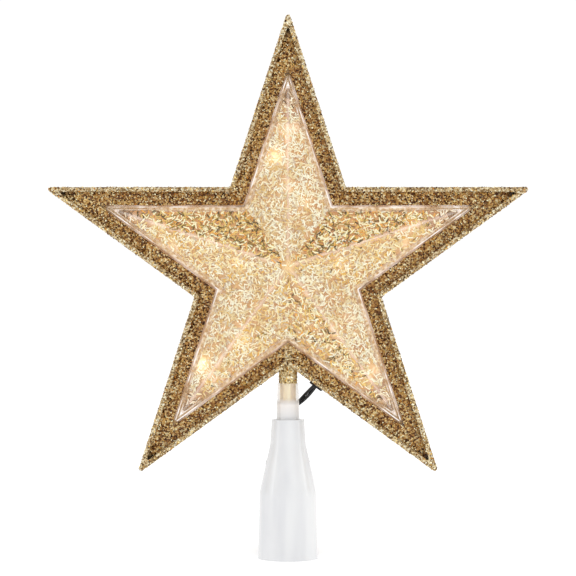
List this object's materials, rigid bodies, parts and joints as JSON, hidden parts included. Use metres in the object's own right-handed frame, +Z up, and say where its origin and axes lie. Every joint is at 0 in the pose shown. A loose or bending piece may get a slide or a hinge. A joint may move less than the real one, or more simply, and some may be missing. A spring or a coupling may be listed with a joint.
{
  "type": "tree topper star",
  "caption": "Five-pointed lighted star for the top of a Christmas tree: glittered frame, clear faceted lens over flake lining and lamps, push-on socket and corded plug.",
  "frame": {"origin": "centre of the tree socket's open mouth", "axes": "+Z up along the socket, -Y the way the star faces, +X to the viewer's right"},
  "size_m": [0.2228, 0.075, 0.2533],
  "materials": {
    "gold_glitter": "gold glitter bonded to moulded plastic",
    "clear_lens": "clear moulded polystyrene, polished",
    "gold_flake": "cream and gold needle flakes in a clear film",
    "cream_plate": "satin",
    "screw_steel": "zinc plated",
    "frosted_white": "frosted, lets a little light through",
    "gold_plastic": "satin gold",
    "black_rubber": "matte",
    "black_cord": "smooth soft vinyl, a twisted pair",
    "tie_black": "matte",
    "plug_black": "fine grained",
    "blade_brass": "plain",
    "holder_white": "satin",
    "lamp_glass": "clear glass with a warm filament"
  },
  "bodies": {
    "socket": {"tree_socket": "frosted_white"},
    "peg": {"post_peg": "gold_plastic"},
    "star": {"star_frame": "gold_glitter", "front_lens": "clear_lens", "flake_lining": "gold_flake", "lamp_plate": "cream_plate", "rear_cover": "gold_glitter", "cover_screws": "screw_steel", "cord_grommet": "black_rubber", "lead_cord": "black_cord", "cord_hank": "black_cord", "hank_tie": "tie_black", "tail_cord": "black_cord", "plug_body": "plug_black", "plug_blades": "blade_brass", "lamp_holder_01": "holder_white", "lamp_holder_02": "holder_white", "lamp_holder_03": "holder_white", "lamp_holder_04": "holder_white", "lamp_holder_05": "holder_white", "lamp_holder_06": "holder_white", "lamp_holder_07": "holder_white", "lamp_holder_08": "holder_white", "lamp_holder_09": "holder_white", "lamp_holder_10": "holder_white", "bulb_01": "lamp_glass", "bulb_02": "lamp_glass", "bulb_03": "lamp_glass", "bulb_04": "lamp_glass", "bulb_05": "lamp_glass", "bulb_06": "lamp_glass", "bulb_07": "lamp_glass", "bulb_08": "lamp_glass", "bulb_09": "lamp_glass", "bulb_10": "lamp_glass", "lamp_wire_01": "black_cord", "lamp_wire_02": "black_cord", "lamp_wire_03": "black_cord", "lamp_wire_04": "black_cord", "lamp_wire_05": "black_cord", "lamp_wire_06": "black_cord", "lamp_wire_07": "black_cord", "lamp_wire_08": "black_cord", "lamp_wire_09": "black_cord", "lamp_wire_10": "black_cord", "lamp_wire_11": "black_cord"}
  },
  "joints": [
    {"name": "peg_pull", "type": "slide", "parent": "socket", "child": "peg", "axis": [0, 0, 1], "range_m": [0, 0.008]},
    {"name": "star_turn", "type": "hinge", "parent": "peg", "child": "star", "pos_m": [0, 0, 0.0818], "axis": [0, 0, 1], "continuous": true}
  ]
}
